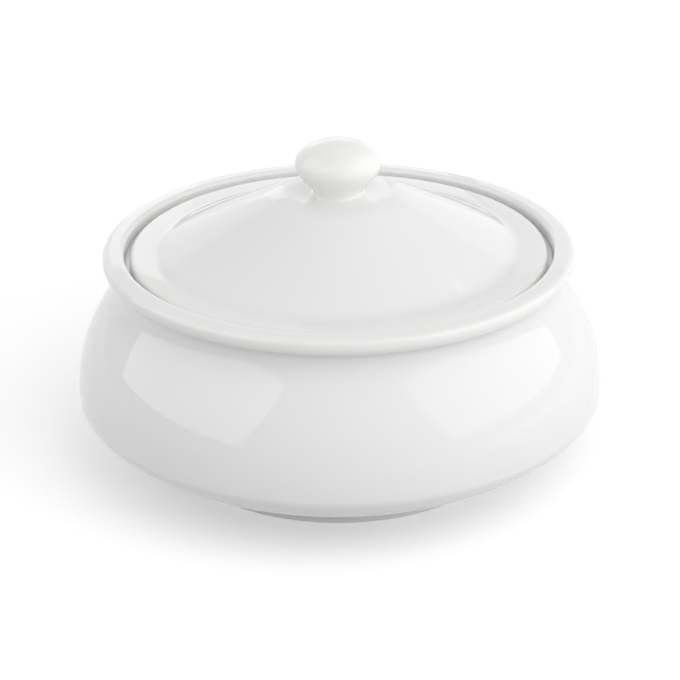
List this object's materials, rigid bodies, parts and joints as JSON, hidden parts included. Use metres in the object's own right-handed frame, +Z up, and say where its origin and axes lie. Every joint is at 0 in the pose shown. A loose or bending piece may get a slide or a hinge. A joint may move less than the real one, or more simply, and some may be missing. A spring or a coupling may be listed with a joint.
{
  "type": "lidded serving bowl",
  "caption": "Round-bellied porcelain serving bowl on a foot ring, with a sloping lip over an undercut neck and a loose domed lid that rests in the lip's gallery and lifts by its knob.",
  "frame": {"origin": "centre of the foot ring, on the surface that the bowl stands on", "axes": "+Z up along the bowl's axis of revolution; X and Y are free, because the bowl is round"},
  "size_m": [0.2, 0.2, 0.1242],
  "materials": {
    "bowl_glaze": "clear gloss glaze over white porcelain, bare on the foot ring",
    "lid_glaze": "clear gloss glaze over white porcelain, bare on the seat under the edge"
  },
  "bodies": {
    "bowl": {"bowl": "bowl_glaze"},
    "lid": {"lid": "lid_glaze", "lid_knob": "lid_glaze"}
  },
  "joints": [
    {"name": "lid_lift", "type": "slide", "parent": "bowl", "child": "lid", "axis": [0, 0, 1], "range_m": [0, 0.2]}
  ]
}
